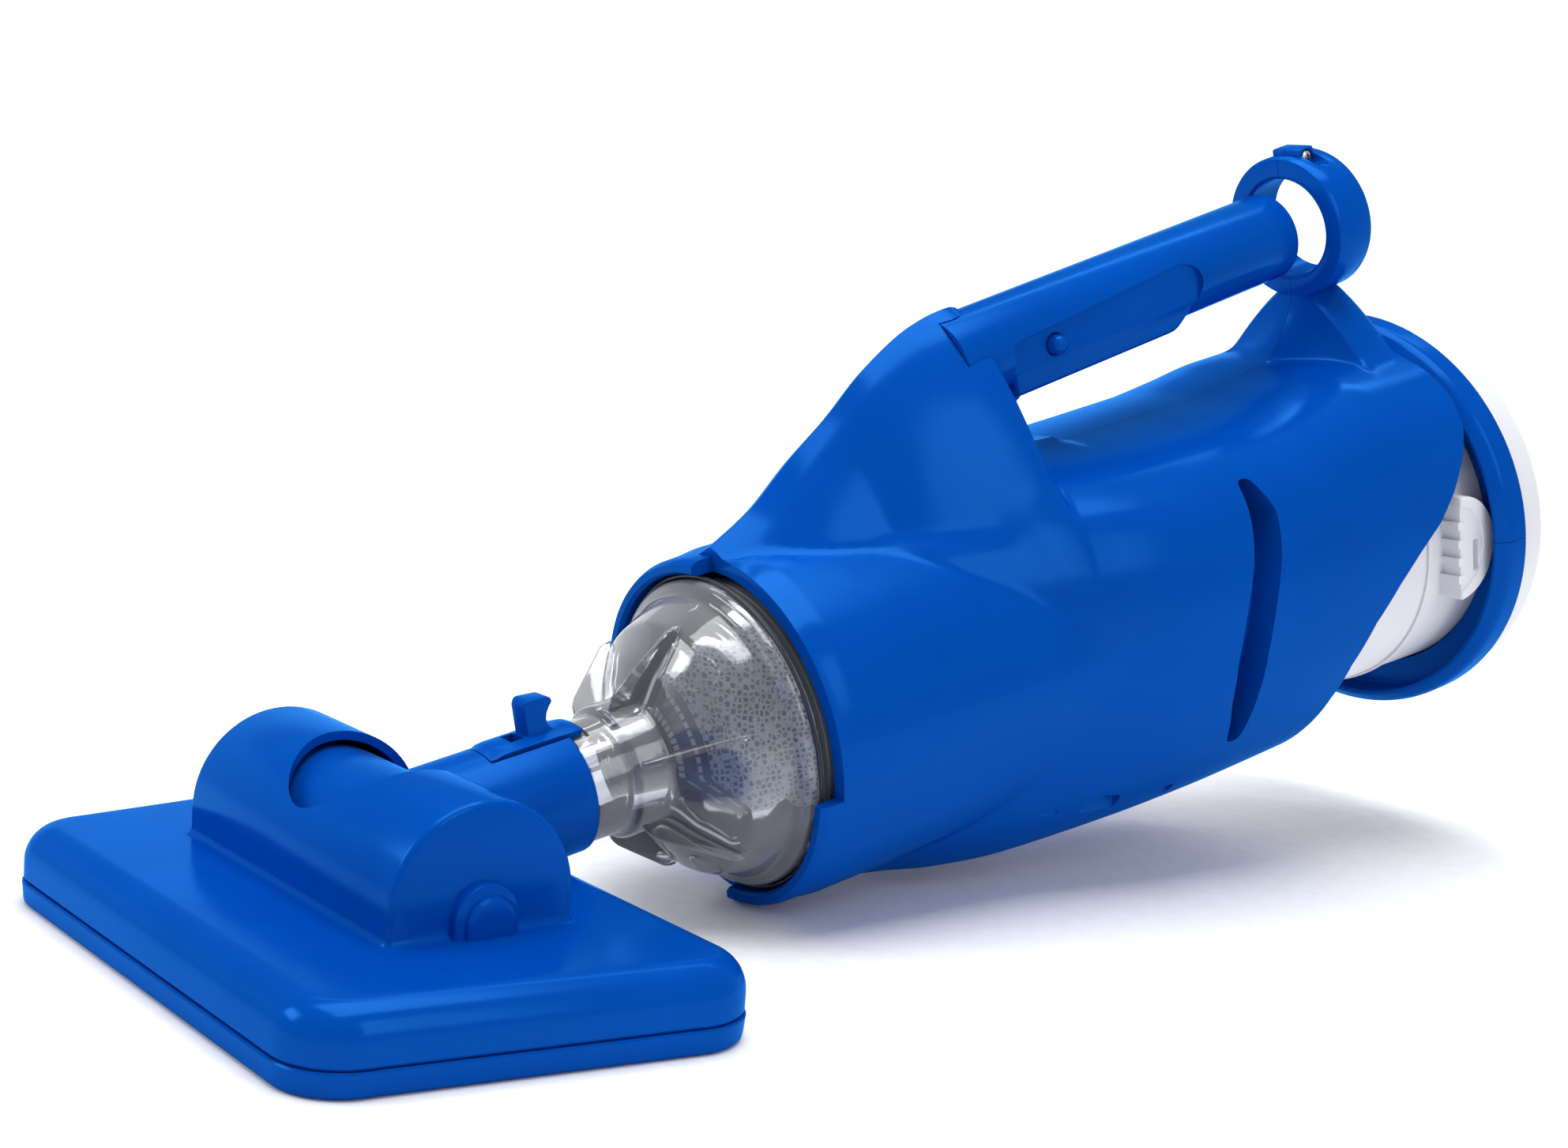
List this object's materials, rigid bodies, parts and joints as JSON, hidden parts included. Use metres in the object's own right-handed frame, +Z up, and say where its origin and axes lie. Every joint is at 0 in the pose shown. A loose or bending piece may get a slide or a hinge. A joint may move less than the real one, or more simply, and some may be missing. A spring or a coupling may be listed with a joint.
{
  "type": "hand-held pool vacuum",
  "caption": "Cordless hand-held pool vacuum with a pivoting flat vac head, clear nose cone, cloth filter, handled housing, pole collar and sealed motor unit.",
  "frame": {"origin": "middle of the vac head's flat sole, which lies in the plane z = 0", "axes": "+Z up; the vac head faces -Y and the body runs back and up along +Y; +X is the right-hand side seen from behind the handle"},
  "size_m": [0.201, 0.4721, 0.2294],
  "materials": {
    "blue_abs": "glossy moulded ABS",
    "white_abs": "satin moulded ABS",
    "clear_polycarbonate": "clear polished polycarbonate",
    "black_rubber": "satin",
    "filter_cloth": "woven",
    "stainless_steel": "satin",
    "motor_can": "plain",
    "battery_cell": "sleeved",
    "grey_plastic": "matte",
    "circuit_board": "lacquered",
    "nylon_bristle": "tufted"
  },
  "bodies": {
    "head": {"head_cover": "blue_abs", "head_base": "blue_abs", "brush_strip_front": "nylon_bristle", "brush_strip_rear": "nylon_bristle", "head_screw_1": "stainless_steel", "head_screw_2": "stainless_steel", "head_screw_3": "stainless_steel", "head_screw_4": "stainless_steel"},
    "neck": {"neck_tube": "blue_abs", "nose_cone": "clear_polycarbonate", "valve_seat": "white_abs", "nose_o_ring": "black_rubber", "filter_bag": "filter_cloth", "filter_frame": "white_abs"},
    "latch": {"latch_tongue": "blue_abs"},
    "flap": {"flap_valve": "white_abs"},
    "housing": {"housing_right": "blue_abs", "housing_left": "blue_abs", "housing_screw_1": "stainless_steel", "housing_screw_2": "stainless_steel", "housing_screw_3": "stainless_steel", "collar_screw": "stainless_steel", "grip_right": "blue_abs", "grip_left": "blue_abs", "snap_spring": "stainless_steel", "intake_guard": "white_abs", "motor_case": "white_abs", "rear_ring_top": "blue_abs", "rear_ring_bottom": "blue_abs", "end_cap": "white_abs", "cap_gasket": "black_rubber", "cap_screw_1": "stainless_steel", "cap_screw_2": "stainless_steel", "cap_screw_3": "stainless_steel", "charge_port": "grey_plastic", "shaft_seal": "black_rubber", "motor": "motor_can", "battery_cell_1": "battery_cell", "battery_cell_2": "battery_cell", "battery_cell_3": "battery_cell", "battery_holder": "grey_plastic", "circuit_board": "circuit_board"},
    "rotor": {"impeller": "grey_plastic", "motor_shaft": "stainless_steel"},
    "snap_right": {"snap_button_right": "blue_abs"},
    "snap_left": {"snap_button_left": "blue_abs"},
    "power": {"power_button": "grey_plastic"},
    "plug": {"charge_plug": "black_rubber"}
  },
  "joints": [
    {"name": "head_pitch", "type": "hinge", "parent": "head", "child": "neck", "pos_m": [0, 0.0043, 0.0283], "axis": [1, 0, 0], "range_deg": [0, 75]},
    {"name": "latch_flex", "type": "hinge", "parent": "neck", "child": "latch", "pos_m": [0, 0.03337, 0.05098], "axis": [1, 0, 0], "range_deg": [0, 6], "stiffness_Nm_per_rad": 0.6, "springref_deg": -1.72},
    {"name": "flap_swing", "type": "hinge", "parent": "neck", "child": "flap", "pos_m": [0, 0.05815, 0.04994], "axis": [1, 0, 0], "range_deg": [0, 50]},
    {"name": "bayonet_twist", "type": "hinge", "parent": "neck", "child": "housing", "pos_m": [0, 0.1124, 0.0498], "axis": [0, 0.9774, 0.2113], "range_deg": [0, 25]},
    {"name": "rotor_spin", "type": "hinge", "parent": "housing", "child": "rotor", "pos_m": [0, 0.24044, 0.07749], "axis": [0, 0.9774, 0.2113], "continuous": true},
    {"name": "snap_right_press", "type": "slide", "parent": "housing", "child": "snap_right", "axis": [-1, 0, 0], "range_m": [0, 0.0022], "stiffness_N_per_m": 600, "springref_m": -0.002},
    {"name": "snap_left_press", "type": "slide", "parent": "housing", "child": "snap_left", "axis": [1, 0, 0], "range_m": [0, 0.0022], "stiffness_N_per_m": 600, "springref_m": -0.002},
    {"name": "power_press", "type": "slide", "parent": "housing", "child": "power", "axis": [0, -0.9774, -0.2113], "range_m": [0, 0.0015], "stiffness_N_per_m": 500, "springref_m": -0.002},
    {"name": "plug_pull", "type": "slide", "parent": "housing", "child": "plug", "axis": [0, 0.9774, 0.2113], "range_m": [0, 0.012]}
  ]
}
